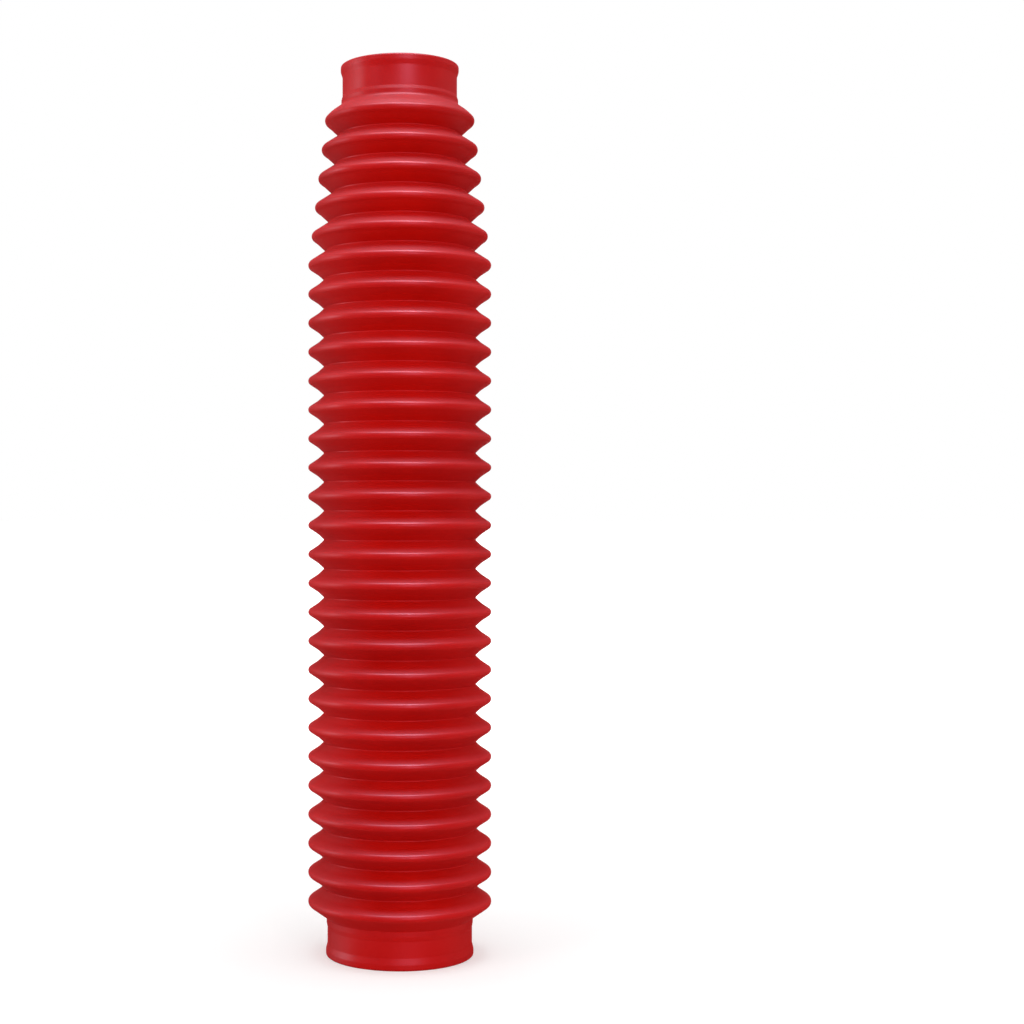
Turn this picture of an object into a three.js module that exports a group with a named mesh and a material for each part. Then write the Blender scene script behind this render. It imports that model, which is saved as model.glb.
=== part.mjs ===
// Fork gaiter: a round rubber bellows that sleeves the sliding tube of a motorcycle's front fork.
// It is one moulded piece. Millimetres, +Z up: the wide collar's rim lies on z = 0 and Z is the bore's axis.
import * as THREE from 'three';

// Whole sleeve
const LENGTH = 350;
const CREST_RADIUS = 36.1;
const FOLD_COUNT = 28;
const FOLD_DEPTH = 6.1;
const CREST_ROUND = 1.5;
const VALLEY_ROUND = 0.9;
const FOLD_WALL = 1.5;

// The upper folds grow one by one from the narrow collar to the full radius
const TAPERED_FOLDS = 5;
const TAPER_STEP = 1.32;

// Both collars
const COLLAR_WALL = 2;
const RIM_ROUND = 0.8;

// Wide collar below. Heights are measured from its rim
const WIDE_RADIUS = 28.5;
const WIDE_BEAD_PROUD = 0.6;
const WIDE_BEAD_HEIGHT = 2.4;
const WIDE_BEAD_SLOPE = 2.4;
const WIDE_LEDGE_PROUD = 0.35;
const WIDE_LEDGE_START = 11.1;
const WIDE_LEDGE_SLOPE = 1.8;
const WIDE_FOLD_START = 15.1;
const WIDE_FIRST_CREST = 21.2;

// Narrow collar above. Heights are measured down from its rim
const NARROW_RADIUS = 22.6;
const NARROW_BEAD_PROUD = 0.7;
const NARROW_BEAD_HEIGHT = 2.2;
const NARROW_BEAD_SLOPE = 2.1;
const NARROW_LEDGE_PROUD = 0.45;
const NARROW_LEDGE_START = 12.1;
const NARROW_LEDGE_SLOPE = 1.4;
const NARROW_FOLD_START = 16;
const NARROW_FIRST_CREST = 21.7;

// Fineness of the faceted surface
const FACETS_AROUND = 28;
const FACETS_PER_ROUND = 2;

// Flanks of one fold: straight lines that touch the crest's and the valley's round
const HALF_PITCH = (LENGTH - WIDE_FIRST_CREST - NARROW_FIRST_CREST) / (FOLD_COUNT - 1) / 2;
const FLANK_ANGLE = flankAngle(HALF_PITCH, FOLD_DEPTH, CREST_ROUND + VALLEY_ROUND);
const CORNER_FACTOR = 1 / Math.cos(FLANK_ANGLE) - 1;

// Angle between a flank and the axis, for two rounds of this summed radius joined by their inner tangent
function flankAngle(halfPitch, depth, rounds) {
  const centresApart = depth - rounds;
  const slant = Math.hypot(halfPitch, centresApart);
  return Math.atan2(centresApart, halfPitch) + Math.asin(rounds / slant);
}

// A corner of the section, with the round that softens it
function corner(radius, height, round = 0) {
  return { at: new THREE.Vector2(radius, height), round };
}

// Radius at the crest of a fold, counted upwards from the wide collar
function crestRadius(fold) {
  const foldsBelowTop = FOLD_COUNT - 1 - fold;
  return CREST_RADIUS - Math.max(0, TAPERED_FOLDS - foldsBelowTop) * TAPER_STEP;
}

function crestCorner(fold) {
  const height = WIDE_FIRST_CREST + fold * 2 * HALF_PITCH;
  return corner(crestRadius(fold) + CREST_ROUND * CORNER_FACTOR, height, CREST_ROUND);
}

// The valley above a fold lies as deep below its two crests' mean radius everywhere
function valleyCorner(fold) {
  const bottom = (crestRadius(fold) + crestRadius(fold + 1)) / 2 - FOLD_DEPTH;
  const height = WIDE_FIRST_CREST + (2 * fold + 1) * HALF_PITCH;
  return corner(bottom - VALLEY_ROUND * CORNER_FACTOR, height, VALLEY_ROUND);
}

// Outside of one collar, from its rim to the foot of the nearest fold
function collarCorners(size) {
  const bead = size.radius + size.beadProud;
  const ledge = size.radius + size.ledgeProud;
  return [
    corner(bead, 0, RIM_ROUND),
    corner(bead, size.beadHeight),
    corner(size.radius, size.beadHeight + size.beadSlope),
    corner(size.radius, size.ledgeStart),
    corner(ledge, size.ledgeStart + size.ledgeSlope),
    corner(ledge, size.foldStart),
  ];
}

const WIDE_COLLAR = {
  radius: WIDE_RADIUS,
  beadProud: WIDE_BEAD_PROUD,
  beadHeight: WIDE_BEAD_HEIGHT,
  beadSlope: WIDE_BEAD_SLOPE,
  ledgeProud: WIDE_LEDGE_PROUD,
  ledgeStart: WIDE_LEDGE_START,
  ledgeSlope: WIDE_LEDGE_SLOPE,
  foldStart: WIDE_FOLD_START,
};

const NARROW_COLLAR = {
  radius: NARROW_RADIUS,
  beadProud: NARROW_BEAD_PROUD,
  beadHeight: NARROW_BEAD_HEIGHT,
  beadSlope: NARROW_BEAD_SLOPE,
  ledgeProud: NARROW_LEDGE_PROUD,
  ledgeStart: NARROW_LEDGE_START,
  ledgeSlope: NARROW_LEDGE_SLOPE,
  foldStart: NARROW_FOLD_START,
};

// The same collar hung from the top: mirrored, and listed from the fold up to its rim
function hungFromTop(corners) {
  const mirrored = corners.map(({ at, round }) => corner(at.x, LENGTH - at.y, round));
  return mirrored.reverse();
}

// Folds from the lowest crest to the highest
function foldCorners() {
  const corners = [];
  for (let fold = 0; fold < FOLD_COUNT; fold += 1) {
    corners.push(crestCorner(fold));
    if (fold < FOLD_COUNT - 1) {
      corners.push(valleyCorner(fold));
    }
  }
  return corners;
}

// Unit vector across a wall of the section that runs upwards, pointing to the axis
function inwardNormal(from, to) {
  const along = to.clone().sub(from).normalize();
  return new THREE.Vector2(-along.y, along.x);
}

// Corner of the inner skin, where both walls next to it keep the same thickness
function insetPoint(before, here, after, wall) {
  const first = inwardNormal(before, here);
  const second = inwardNormal(here, after);
  const reach = wall / (1 + first.dot(second));
  return here.clone().addScaledVector(first.add(second), reach);
}

// Foot of an end fold's inner flank: one wall inside the outer flank, where it meets the bore
function innerFoot(below, above, bore) {
  const along = above.clone().sub(below);
  const start = below.clone().addScaledVector(inwardNormal(below, above), FOLD_WALL);
  const travel = (bore - start.x) / along.x;
  return corner(bore, start.y + along.y * travel);
}

// The inner skin of the folds: sharp behind each crest, and a rounded ridge behind each valley
function innerFoldCorners(lowFoot, folds, highFoot) {
  const path = [lowFoot, ...folds, highFoot].map(({ at }) => at);
  return folds.map((fold, index) => {
    const point = insetPoint(path[index], path[index + 1], path[index + 2], FOLD_WALL);
    const isCrest = index % 2 === 0;
    if (isCrest) {
      return corner(point.x, point.y);
    }
    return corner(point.x, point.y, VALLEY_ROUND + FOLD_WALL);
  });
}

// A corner's round as facets that touch its true arc, so the walls beside it and its crown keep their place
function roundedPoints(before, here, after) {
  if (here.round <= 0) {
    return [here.at];
  }
  const back = before.at.clone().sub(here.at);
  const ahead = after.at.clone().sub(here.at);
  const halfOpening = Math.acos(back.dot(ahead) / (back.length() * ahead.length())) / 2;
  const shorterWall = Math.min(back.length(), ahead.length()) / 2;
  const round = Math.min(here.round, shorterWall * Math.tan(halfOpening));
  const bisector = back.normalize().add(ahead.normalize()).normalize();
  const centre = here.at.clone().addScaledVector(bisector, round / Math.sin(halfOpening));
  const turn = Math.sign(ahead.cross(back)) * (Math.PI - 2 * halfOpening);
  const facetTurn = turn / FACETS_PER_ROUND;
  const reach = round / Math.cos(facetTurn / 2);
  const first = bisector.angle() + Math.PI - turn / 2 + facetTurn / 2;
  return Array.from({ length: FACETS_PER_ROUND }, (_, facet) => {
    const angle = first + facet * facetTurn;
    return new THREE.Vector2(centre.x + reach * Math.cos(angle), centre.y + reach * Math.sin(angle));
  });
}

// Closed section of the whole sleeve: up its outside and down its inside
function sectionPoints() {
  const low = collarCorners(WIDE_COLLAR);
  const folds = foldCorners();
  const high = hungFromTop(collarCorners(NARROW_COLLAR));
  const lowFoot = low[low.length - 1];
  const highFoot = high[0];
  const wideBore = WIDE_RADIUS - COLLAR_WALL;
  const narrowBore = NARROW_RADIUS - COLLAR_WALL;
  const inside = [
    corner(wideBore, 0),
    innerFoot(lowFoot.at, folds[0].at, wideBore),
    ...innerFoldCorners(lowFoot, folds, highFoot),
    innerFoot(folds[folds.length - 1].at, highFoot.at, narrowBore),
    corner(narrowBore, LENGTH),
  ];
  const loop = [...low, ...folds, ...high, ...inside.reverse()];
  const count = loop.length;
  const points = loop.flatMap((here, index) => {
    const before = loop[(index + count - 1) % count];
    const after = loop[(index + 1) % count];
    return roundedPoints(before, here, after);
  });
  return [...points, points[0].clone()];
}

const redRubber = new THREE.MeshStandardMaterial({ color: 0xb41d18, roughness: 0.4, metalness: 0 });
redRubber.name = 'red_rubber';

// The section turns about the lathe's Y axis, which then stands up along Z
const sleeve = new THREE.Mesh(new THREE.LatheGeometry(sectionPoints(), FACETS_AROUND), redRubber);
sleeve.name = 'bellows_sleeve';
sleeve.rotation.x = Math.PI / 2;

const forkGaiter = new THREE.Group();
forkGaiter.name = 'fork_gaiter';
forkGaiter.add(sleeve);

export default forkGaiter;
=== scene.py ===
import math
from collections import namedtuple

import bpy
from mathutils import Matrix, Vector


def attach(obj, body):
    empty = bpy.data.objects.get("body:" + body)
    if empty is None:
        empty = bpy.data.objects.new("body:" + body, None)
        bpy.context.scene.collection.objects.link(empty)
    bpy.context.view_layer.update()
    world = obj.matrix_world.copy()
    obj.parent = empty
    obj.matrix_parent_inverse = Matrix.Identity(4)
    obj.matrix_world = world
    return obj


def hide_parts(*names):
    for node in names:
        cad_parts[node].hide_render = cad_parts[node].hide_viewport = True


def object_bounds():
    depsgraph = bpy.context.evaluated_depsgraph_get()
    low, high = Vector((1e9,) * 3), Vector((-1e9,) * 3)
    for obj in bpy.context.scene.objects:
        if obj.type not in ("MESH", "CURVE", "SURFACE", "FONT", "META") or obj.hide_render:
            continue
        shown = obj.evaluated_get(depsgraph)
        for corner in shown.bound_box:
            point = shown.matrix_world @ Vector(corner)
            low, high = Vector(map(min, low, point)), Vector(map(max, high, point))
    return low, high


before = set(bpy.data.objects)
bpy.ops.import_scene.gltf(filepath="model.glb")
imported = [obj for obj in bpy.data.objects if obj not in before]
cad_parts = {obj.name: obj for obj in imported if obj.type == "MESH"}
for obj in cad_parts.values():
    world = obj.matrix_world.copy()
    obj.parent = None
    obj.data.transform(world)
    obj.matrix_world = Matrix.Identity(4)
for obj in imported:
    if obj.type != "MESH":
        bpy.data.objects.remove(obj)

CAD_LOW, CAD_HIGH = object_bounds()

# Whole sleeve
LENGTH = CAD_HIGH.z - CAD_LOW.z
CREST_RADIUS = CAD_HIGH.x
FOLD_COUNT = 28
FOLD_DEPTH = 0.0061
CREST_ROUND = 0.0017
VALLEY_ROUND = 0.0004
FLANK_BEND_ROUND = 0.009
FOLD_WALL = 0.0015
INNER_CREST_ROUND = 0.0003

# Slope of a flank against the axis, next to the crest and next to the valley
CREST_SLOPE = math.radians(57)
VALLEY_SLOPE = math.radians(47)

# The upper folds grow one by one from the narrow collar to the full radius
TAPERED_FOLDS = 5
TAPER_STEP = 0.00132

# Both collars
COLLAR_WALL = 0.002
RIM_ROUND = 0.0008
MOUTH_ROUND = 0.0004

# Wide collar below. Heights are measured from its rim
WIDE = {
    "radius": 0.0285,
    "bead_proud": 0.0006,
    "bead_height": 0.0024,
    "bead_slope": 0.0024,
    "ledge_proud": 0.00035,
    "ledge_start": 0.0111,
    "ledge_slope": 0.0018,
    "fold_start": 0.0151,
    "foot_blend": 0.0006,
    "first_crest": 0.0212,
}

# Narrow collar above. Heights are measured down from its rim
NARROW = {
    "radius": 0.0226,
    "bead_proud": 0.0007,
    "bead_height": 0.0022,
    "bead_slope": 0.0021,
    "ledge_proud": 0.00045,
    "ledge_start": 0.0121,
    "ledge_slope": 0.0014,
    "fold_start": 0.0157,
    "foot_blend": 0.0020,
    "first_crest": 0.0217,
}

# The slope from the narrow collar to the highest crest bends over a shoulder, which lies this far
# above the crest and inside its radius
SHOULDER_RISE = 0.00304
SHOULDER_DEPTH = 0.00225
SHOULDER_ROUND = 0.012

# Soft corners of a collar, which the mould leaves where its bead and its ledge blend in
BEAD_BLEND = 0.0025
LEDGE_BLEND = 0.0012
INNER_FOOT_ROUND = 0.0025

# A round takes up no more than this share of the walls beside it
LONGEST_REACH = 0.85

# How often an end fold's corner is moved until its crown has the right radius
SEATING_ROUNDS = 8

# Fineness of the turned surface: segments around it, and steps of each round.
# The steps are even, so that one point lies on the crown
SEGMENTS = 120
CREST_STEPS = 6
VALLEY_STEPS = 4
BEND_STEPS = 2
COLLAR_STEPS = 4
INNER_CREST_STEPS = 2
INNER_VALLEY_STEPS = 4

# Colours of the rubber: a red that shifts slowly between two tones, with paler flecks
DEEP_RED = (0.45, 0.0030, 0.0008, 1)
BRIGHT_RED = (0.54, 0.0045, 0.0016, 1)
FLECK_RED = (0.60, 0.014, 0.012, 1)
FLECK_SHARE = 0.12

# Fineness of its noises, as waves in a metre, and how many octaves they have
TONE_SCALE = 22
PATCH_SCALE = 60
FLECK_SCALE = 420
GRAIN_SCALE = 2600
SOFT_DETAIL = 3
FINE_DETAIL = 2

# The middle of a noise, where most of its values lie, and the high values that become flecks
NOISE_MIDDLE = (0.35, 0.65)
FLECK_RANGE = (0.5, 0.8)

# Unevenness of the rubber's skin: a fine grain on shallow dents
GRAIN_DEPTH = 0.00006
GRAIN_STRENGTH = 0.12
DENT_DEPTH = 0.0003
DENT_STRENGTH = 0.25

# Gloss of the rubber. It turns duller where it is seen at a slant, and in the creases
SMOOTHEST = 0.35
ROUGHEST = 0.45
GRAZING_DULLNESS = 0.5
SLANT_RANGE = (0.2, 0.75)
CREASE_DULLNESS = 0.4
CREASE_RANGE = (0.44, 0.49)
SPECULAR_LEVEL = 0.12
SPECULAR_TINT = (1.0, 0.6, 0.9, 1)

# Pale floor, which fades into the white surroundings between two distances from the sleeve
FLOOR_SIZE = 80
FLOOR_COLOUR = (0.66, 0.66, 0.66, 1)
FLOOR_LIFT = 0.40
FLOOR_FADE = (0.25, 1.0)
WORLD_LIGHT = 0.82
WHITE = (1, 1, 1, 1)

# Area lamps aimed at the sleeve's middle. Azimuth 0 is the camera's side and 90 the right, in degrees.
# Some show only as gloss, so that the highlights need no more light on the rubber
Softbox = namedtuple("Softbox", "name azimuth elevation distance width height watts gloss_only")
SOFTBOXES = [
    Softbox("overhead", 35, 84, 1.3, 0.45, 0.45, 3, False),
    Softbox("front_right", 18, 15, 1.6, 0.35, 1.0, 4, False),
    Softbox("left", -50, 25, 1.5, 0.5, 0.8, 3, False),
    Softbox("highlight_right", 35, 74, 1.3, 0.5, 0.5, 62, True),
    Softbox("highlight_left", -50, 74, 1.3, 0.5, 0.5, 33, True),
    Softbox("highlight_front", 14, 14, 1.6, 0.6, 0.9, 20, True),
    Softbox("highlight_side", -100, 5, 1.6, 0.5, 1.0, 36, True),
]

# Camera: level and straight in front of the sleeve, which stands left of the picture's middle.
# Its distance is given in the picture's pixels, at the scale of the sleeve's axis
PICTURE_PIXELS = 1024
PIXELS_TO_AXIS = 1815
METRES_PER_PIXEL = 0.0003949
AXIS_COLUMN = 399.75
FLOOR_ROW = 953.4
HORIZON_ROW = 514
SENSOR_MM = 36


# A corner of the section, with the round that softens it and the steps that the round is made in
Corner = namedtuple("Corner", "radius height round steps")


def place_of(corner):
    return Vector((corner.radius, corner.height))


def corner_overshoot(slope, round_size):
    """How far a fold's sharp corner would stand beyond its round's crown."""
    return round_size * (1 / math.cos(slope) - 1)


HALF_PITCH = (LENGTH - WIDE["first_crest"] - NARROW["first_crest"]) / (FOLD_COUNT - 1) / 2
CREST_OVERSHOOT = corner_overshoot(CREST_SLOPE, CREST_ROUND)
VALLEY_OVERSHOOT = corner_overshoot(VALLEY_SLOPE, VALLEY_ROUND)


def crest_radius(fold):
    """Radius at the crest of a fold, counted upwards from the wide collar."""
    folds_below_top = FOLD_COUNT - 1 - fold
    return CREST_RADIUS - max(0, TAPERED_FOLDS - folds_below_top) * TAPER_STEP


def crest_corner(fold):
    height = WIDE["first_crest"] + 2 * fold * HALF_PITCH
    return Corner(crest_radius(fold) + CREST_OVERSHOOT, height, CREST_ROUND, CREST_STEPS)


def valley_corner(fold):
    """The valley above a fold, as deep below its two crests' mean radius everywhere."""
    bottom = (crest_radius(fold) + crest_radius(fold + 1)) / 2 - FOLD_DEPTH
    height = WIDE["first_crest"] + (2 * fold + 1) * HALF_PITCH
    return Corner(bottom - VALLEY_OVERSHOOT, height, VALLEY_ROUND, VALLEY_STEPS)


def bend_corner(crest, valley):
    """Where a flank's part by the crest meets its part by the valley."""
    rise = abs(valley.height - crest.height)
    fall = crest.radius - valley.radius
    flat, upright = math.tan(CREST_SLOPE), math.tan(VALLEY_SLOPE)
    crest_share = (fall - upright * rise) / (flat - upright)
    height = crest.height + math.copysign(crest_share, valley.height - crest.height)
    return Corner(crest.radius - flat * crest_share, height, FLANK_BEND_ROUND, BEND_STEPS)


def fold_corners():
    """Outside of the folds, upwards: crest, bend, valley, bend and so on to the last crest."""
    corners = [crest_corner(0)]
    for fold in range(FOLD_COUNT - 1):
        valley = valley_corner(fold)
        following = crest_corner(fold + 1)
        corners.append(bend_corner(corners[-1], valley))
        corners.append(valley)
        corners.append(bend_corner(following, valley))
        corners.append(following)
    return corners


def collar_corners(size):
    """Outside of one collar, from its rim to the foot of the nearest fold."""
    radius = size["radius"]
    bead = radius + size["bead_proud"]
    ledge = radius + size["ledge_proud"]
    return [
        Corner(bead, 0, RIM_ROUND, COLLAR_STEPS),
        Corner(bead, size["bead_height"], BEAD_BLEND, COLLAR_STEPS),
        Corner(radius, size["bead_height"] + size["bead_slope"], BEAD_BLEND, COLLAR_STEPS),
        Corner(radius, size["ledge_start"], LEDGE_BLEND, COLLAR_STEPS),
        Corner(ledge, size["ledge_start"] + size["ledge_slope"], LEDGE_BLEND, COLLAR_STEPS),
        Corner(ledge, size["fold_start"], size["foot_blend"], COLLAR_STEPS),
    ]


def hung_from_top(corners):
    """The same corners measured down from the top, listed from the fold up to the rim."""
    mirrored = [corner._replace(height=LENGTH - corner.height) for corner in corners]
    mirrored.reverse()
    return mirrored


def shoulder_corner():
    """Where the slope from the narrow collar's foot bends over to the highest crest."""
    radius = crest_radius(FOLD_COUNT - 1) - SHOULDER_DEPTH
    height = LENGTH - NARROW["first_crest"] + SHOULDER_RISE
    return Corner(radius, height, SHOULDER_ROUND, COLLAR_STEPS)


def inward_normal(start, end):
    """Unit vector across a wall that runs upwards, pointing to the axis."""
    along = (end - start).normalized()
    return Vector((-along.y, along.x))


def inset_point(before, here, after):
    """Corner of the inner skin, where both walls next to it keep the same thickness."""
    first = inward_normal(before, here)
    second = inward_normal(here, after)
    return here + (first + second) * (FOLD_WALL / (1 + first.dot(second)))


def inner_foot(below, above, bore):
    """Where an end fold's inner flank meets the bore."""
    along = above - below
    start = below + inward_normal(below, above) * FOLD_WALL
    travel = (bore - start.x) / along.x
    return Corner(bore, start.y + along.y * travel, INNER_FOOT_ROUND, COLLAR_STEPS)


def inner_corners(low_foot, folds, high_foot):
    """Inner skin of the folds: a tight round behind each crest and a full one behind each valley."""
    path = [place_of(corner) for corner in [low_foot, *folds, high_foot]]
    behind_crest = (INNER_CREST_ROUND, INNER_CREST_STEPS)
    behind_valley = (VALLEY_ROUND + FOLD_WALL, INNER_VALLEY_STEPS)
    corners = []
    for index in range(0, len(folds), 2):
        point = inset_point(path[index], path[index + 1], path[index + 2])
        is_crest = len(corners) % 2 == 0
        corners.append(Corner(point.x, point.y, *(behind_crest if is_crest else behind_valley)))
    return corners


def rounded(before, here, after):
    """Points and outward normals of the arc that touches both walls beside a corner."""
    place = place_of(here)
    back = place_of(before) - place
    ahead = place_of(after) - place
    half_opening = back.angle(ahead) / 2
    longest = LONGEST_REACH * min(back.length, ahead.length)
    reach = min(here.round / math.tan(half_opening), longest)
    size = reach * math.tan(half_opening)
    bisector = (back.normalized() + ahead.normalized()).normalized()
    centre = place + bisector * (size / math.sin(half_opening))
    arriving = -back.normalized()
    turns_left = arriving.x * ahead.y - arriving.y * ahead.x > 0
    side = 1 if turns_left else -1
    turn = (math.pi - 2 * half_opening) * side
    points = []
    for step in range(here.steps + 1):
        angle = math.atan2(arriving.y, arriving.x) - math.pi / 2 + turn * step / here.steps
        normal = Vector((math.cos(angle), math.sin(angle)))
        points.append((centre + normal * size * side, normal))
    return points


def seated(before, crest, after, radius):
    """An end fold's crest corner, moved until its crown has the given radius."""
    for _ in range(SEATING_ROUNDS):
        crown = max(point.x for point, normal in rounded(before, crest, after))
        crest = crest._replace(radius=crest.radius - (crown - radius))
    return crest


def section_corners():
    """Closed section of the whole sleeve: up its outside and down its inside."""
    low = collar_corners(WIDE)
    folds = fold_corners()
    shoulder = shoulder_corner()
    high = hung_from_top(collar_corners(NARROW))
    folds[0] = seated(low[-1], folds[0], folds[1], crest_radius(0))
    folds[-1] = seated(folds[-2], folds[-1], shoulder, crest_radius(FOLD_COUNT - 1))
    wide_bore = WIDE["radius"] - COLLAR_WALL
    narrow_bore = NARROW["radius"] - COLLAR_WALL
    inside = [
        Corner(wide_bore, 0, MOUTH_ROUND, COLLAR_STEPS),
        inner_foot(place_of(low[-1]), place_of(folds[0]), wide_bore),
        *inner_corners(low[-1], folds, high[0]),
        inner_foot(place_of(folds[-1]), place_of(high[0]), narrow_bore),
        Corner(narrow_bore, LENGTH, MOUTH_ROUND, COLLAR_STEPS),
    ]
    inside.reverse()
    return [*low, *folds, shoulder, *high, *inside]


def section_points():
    """Points of the section with their normals, all its corners rounded."""
    corners = section_corners()
    points = []
    for index, here in enumerate(corners):
        before = corners[index - 1]
        after = corners[(index + 1) % len(corners)]
        points.extend(rounded(before, here, after))
    return points


def turned_points(section):
    """Every point of the surface and its normal, one section after the other."""
    vertices, normals = [], []
    for segment in range(SEGMENTS):
        angle = 2 * math.pi * segment / SEGMENTS
        across, along = math.cos(angle), math.sin(angle)
        for point, normal in section:
            vertices.append((point.x * across, point.x * along, point.y))
            normals.append((normal.x * across, normal.x * along, normal.y))
    return vertices, normals


def turned_faces(count):
    """Quads between each section of so many points and the one beside it."""
    faces = []
    for segment in range(SEGMENTS):
        here = segment * count
        beside = (segment + 1) % SEGMENTS * count
        for index in range(count):
            above = (index + 1) % count
            faces.append((here + index, beside + index, beside + above, here + above))
    return faces


def turned_mesh(name, section):
    """Closed surface of revolution about Z, with the section's own normals."""
    vertices, normals = turned_points(section)
    mesh = bpy.data.meshes.new(name)
    mesh.from_pydata(vertices, [], turned_faces(len(section)))
    mesh.shade_smooth()
    mesh.normals_split_custom_set_from_vertices(normals)
    return mesh


# Mix nodes number their sockets: the share, then the two colours, and the mixed colour comes out
MIX_SHARE = 0
MIX_FIRST = 6
MIX_SECOND = 7
MIX_RESULT = 2


class Nodes:
    """Adds nodes to a tree and sets or links their sockets."""

    def __init__(self, tree):
        self.tree = tree
        self.tree.nodes.clear()

    def set(self, node, socket, value):
        """Gives a socket, named or numbered, a value or the output of another node."""
        target = node.inputs[socket]
        if isinstance(value, bpy.types.NodeSocket):
            self.tree.links.new(value, target)
        else:
            target.default_value = value

    def add(self, kind, *numbered, **named):
        """A new node, with its sockets given in their order or by their names."""
        node = self.tree.nodes.new(kind)
        for index, value in enumerate(numbered):
            self.set(node, index, value)
        for name, value in named.items():
            self.set(node, name.replace("_", " "), value)
        return node

    def math(self, operation, first, second):
        node = self.add("ShaderNodeMath", first, second)
        node.operation = operation
        return node.outputs[0]

    def noise(self, place, scale, detail):
        node = self.add("ShaderNodeTexNoise", Vector=place, Scale=scale, Detail=detail)
        return node.outputs["Fac"]

    def ramp(self, value, span, low, high):
        """Runs from low to high while the value crosses the span."""
        start, end = span
        node = self.add(
            "ShaderNodeMapRange", Value=value, From_Min=start, From_Max=end, To_Min=low, To_Max=high,
        )
        return node.outputs["Result"]

    def mix(self, share, first, second):
        """A colour between two others."""
        node = self.add("ShaderNodeMix")
        node.data_type = "RGBA"
        self.set(node, MIX_SHARE, share)
        self.set(node, MIX_FIRST, first)
        self.set(node, MIX_SECOND, second)
        return node.outputs[MIX_RESULT]

    def object_place(self):
        return self.add("ShaderNodeTexCoord").outputs["Object"]

    def finish(self, kind, shader):
        self.add(kind, Surface=shader.outputs[0])


def new_material(name):
    """A material and its empty nodes."""
    material = bpy.data.materials.new(name)
    material.use_nodes = True
    return material, Nodes(material.node_tree)


def rubber_colour(nodes, place):
    tone = nodes.noise(place, TONE_SCALE, SOFT_DETAIL)
    fleck = nodes.noise(place, FLECK_SCALE, FINE_DETAIL)
    red = nodes.mix(nodes.ramp(tone, NOISE_MIDDLE, 0, 1), DEEP_RED, BRIGHT_RED)
    return nodes.mix(nodes.ramp(fleck, FLECK_RANGE, 0, FLECK_SHARE), red, FLECK_RED)


def rubber_roughness(nodes, patches):
    slant = nodes.add("ShaderNodeLayerWeight").outputs["Facing"]
    crease = nodes.add("ShaderNodeNewGeometry").outputs["Pointiness"]
    roughness = nodes.ramp(patches, NOISE_MIDDLE, SMOOTHEST, ROUGHEST)
    at_slant = nodes.ramp(slant, SLANT_RANGE, 0, GRAZING_DULLNESS)
    in_crease = nodes.ramp(crease, CREASE_RANGE, CREASE_DULLNESS, 0)
    return nodes.math("ADD", nodes.math("ADD", roughness, at_slant), in_crease)


def rubber_normal(nodes, place, patches):
    grain = nodes.noise(place, GRAIN_SCALE, FINE_DETAIL)
    fine = nodes.add("ShaderNodeBump", Strength=GRAIN_STRENGTH, Distance=GRAIN_DEPTH, Height=grain)
    dents = nodes.add("ShaderNodeBump", Strength=DENT_STRENGTH, Distance=DENT_DEPTH, Height=patches)
    nodes.set(dents, "Normal", fine.outputs["Normal"])
    return dents.outputs["Normal"]


def rubber_material():
    """Smooth moulded red rubber with a soft gloss, slightly uneven in tone and gloss."""
    material, nodes = new_material("red_rubber")
    place = nodes.object_place()
    patches = nodes.noise(place, PATCH_SCALE, SOFT_DETAIL)
    shader = nodes.add(
        "ShaderNodeBsdfPrincipled",
        Base_Color=rubber_colour(nodes, place),
        Roughness=rubber_roughness(nodes, patches),
        Normal=rubber_normal(nodes, place, patches),
        Specular_IOR_Level=SPECULAR_LEVEL,
        Specular_Tint=SPECULAR_TINT,
    )
    nodes.finish("ShaderNodeOutputMaterial", shader)
    return material


def make_sleeve():
    mesh = turned_mesh("gaiter_sleeve", section_points())
    mesh.materials.append(rubber_material())
    sleeve = bpy.data.objects.new("gaiter_sleeve", mesh)
    bpy.context.collection.objects.link(sleeve)
    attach(sleeve, "root")
    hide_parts("bellows_sleeve")


def seen_directly(nodes):
    """1 for rays that come from the camera, a reflection or a glass, else 0."""
    path = nodes.add("ShaderNodeLightPath")
    either = nodes.math("MAXIMUM", path.outputs["Is Camera Ray"], path.outputs["Is Glossy Ray"])
    return nodes.math("MAXIMUM", either, path.outputs["Is Transmission Ray"])


def floor_material():
    """Matt floor that shows whiter than it is lit, and is plain white further away."""
    material, nodes = new_material("pale_floor")
    matt = nodes.add("ShaderNodeBsdfDiffuse", Color=FLOOR_COLOUR)
    distance = nodes.add("ShaderNodeVectorMath", nodes.object_place())
    distance.operation = "LENGTH"
    lift = nodes.ramp(distance.outputs["Value"], FLOOR_FADE, FLOOR_LIFT, 1)
    glow = nodes.add("ShaderNodeEmission", Strength=lift)
    lifted = nodes.add("ShaderNodeAddShader", matt.outputs[0], glow.outputs[0])
    shown = nodes.add("ShaderNodeMixShader", seen_directly(nodes), matt.outputs[0], lifted.outputs[0])
    nodes.finish("ShaderNodeOutputMaterial", shown)
    return material


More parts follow.
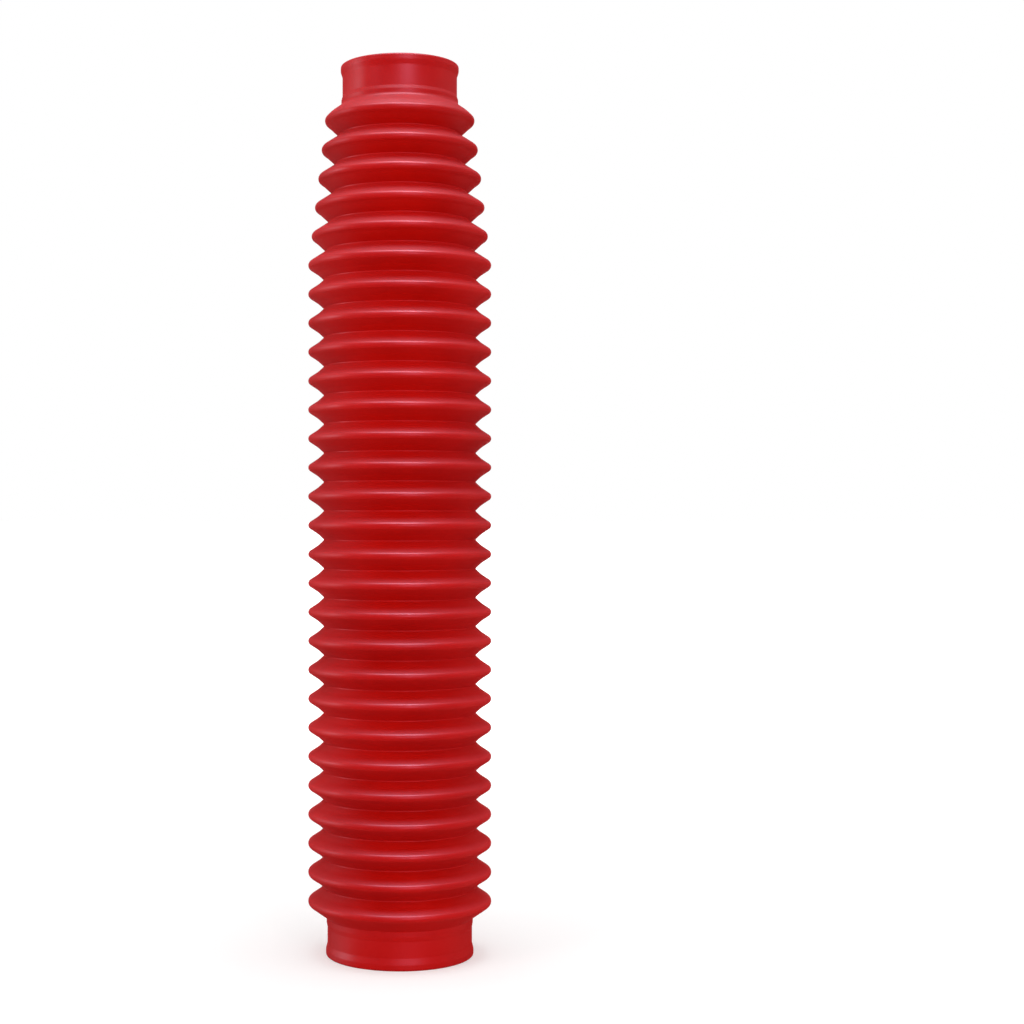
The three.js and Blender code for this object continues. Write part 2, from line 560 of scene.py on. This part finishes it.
def make_floor():
    """Pale floor that keeps the object's shadow and runs into the white surroundings."""
    half = FLOOR_SIZE / 2
    corners = [(-half, -half, 0), (half, -half, 0), (half, half, 0), (-half, half, 0)]
    mesh = bpy.data.meshes.new("floor")
    mesh.from_pydata(corners, [], [(0, 1, 2, 3)])
    mesh.materials.append(floor_material())
    floor = bpy.data.objects.new("floor", mesh)
    bpy.context.collection.objects.link(floor)


def make_world():
    """White where it is seen or mirrored, and a plain soft light everywhere else."""
    world = bpy.data.worlds.new("studio")
    bpy.context.scene.world = world
    world.use_nodes = True
    nodes = Nodes(world.node_tree)
    strength = nodes.ramp(seen_directly(nodes), (0, 1), WORLD_LIGHT, 1)
    background = nodes.add("ShaderNodeBackground", Color=WHITE, Strength=strength)
    nodes.finish("ShaderNodeOutputWorld", background)


def make_softbox(box):
    """One area lamp, placed around the sleeve's middle and aimed at it."""
    target = Vector((0, 0, LENGTH / 2))
    turn, rise = math.radians(box.azimuth), math.radians(box.elevation)
    outward = math.cos(rise)
    away = Vector((math.sin(turn) * outward, -math.cos(turn) * outward, math.sin(rise)))
    lamp = bpy.data.lights.new(box.name, "AREA")
    lamp.shape = "RECTANGLE"
    lamp.size = box.width
    lamp.size_y = box.height
    lamp.energy = box.watts
    stand = bpy.data.objects.new(box.name, lamp)
    stand.location = target + away * box.distance
    stand.rotation_mode = "QUATERNION"
    stand.rotation_quaternion = (-away).to_track_quat("-Z", "Y")
    stand.visible_diffuse = not box.gloss_only
    bpy.context.collection.objects.link(stand)


def make_camera():
    camera = bpy.data.objects.new("camera", bpy.data.cameras.new("camera"))
    camera.data.sensor_width = SENSOR_MM
    camera.data.lens = SENSOR_MM * PIXELS_TO_AXIS / PICTURE_PIXELS
    camera.data.shift_x = 0.5 - AXIS_COLUMN / PICTURE_PIXELS
    camera.data.shift_y = HORIZON_ROW / PICTURE_PIXELS - 0.5
    height = (FLOOR_ROW - HORIZON_ROW) * METRES_PER_PIXEL
    camera.location = (0, -PIXELS_TO_AXIS * METRES_PER_PIXEL, height)
    camera.rotation_euler = (math.pi / 2, 0, 0)
    bpy.context.collection.objects.link(camera)
    bpy.context.scene.camera = camera


make_sleeve()
make_floor()
make_world()
for softbox in SOFTBOXES:
    make_softbox(softbox)
make_camera()
bpy.context.scene.view_settings.view_transform = "Standard"
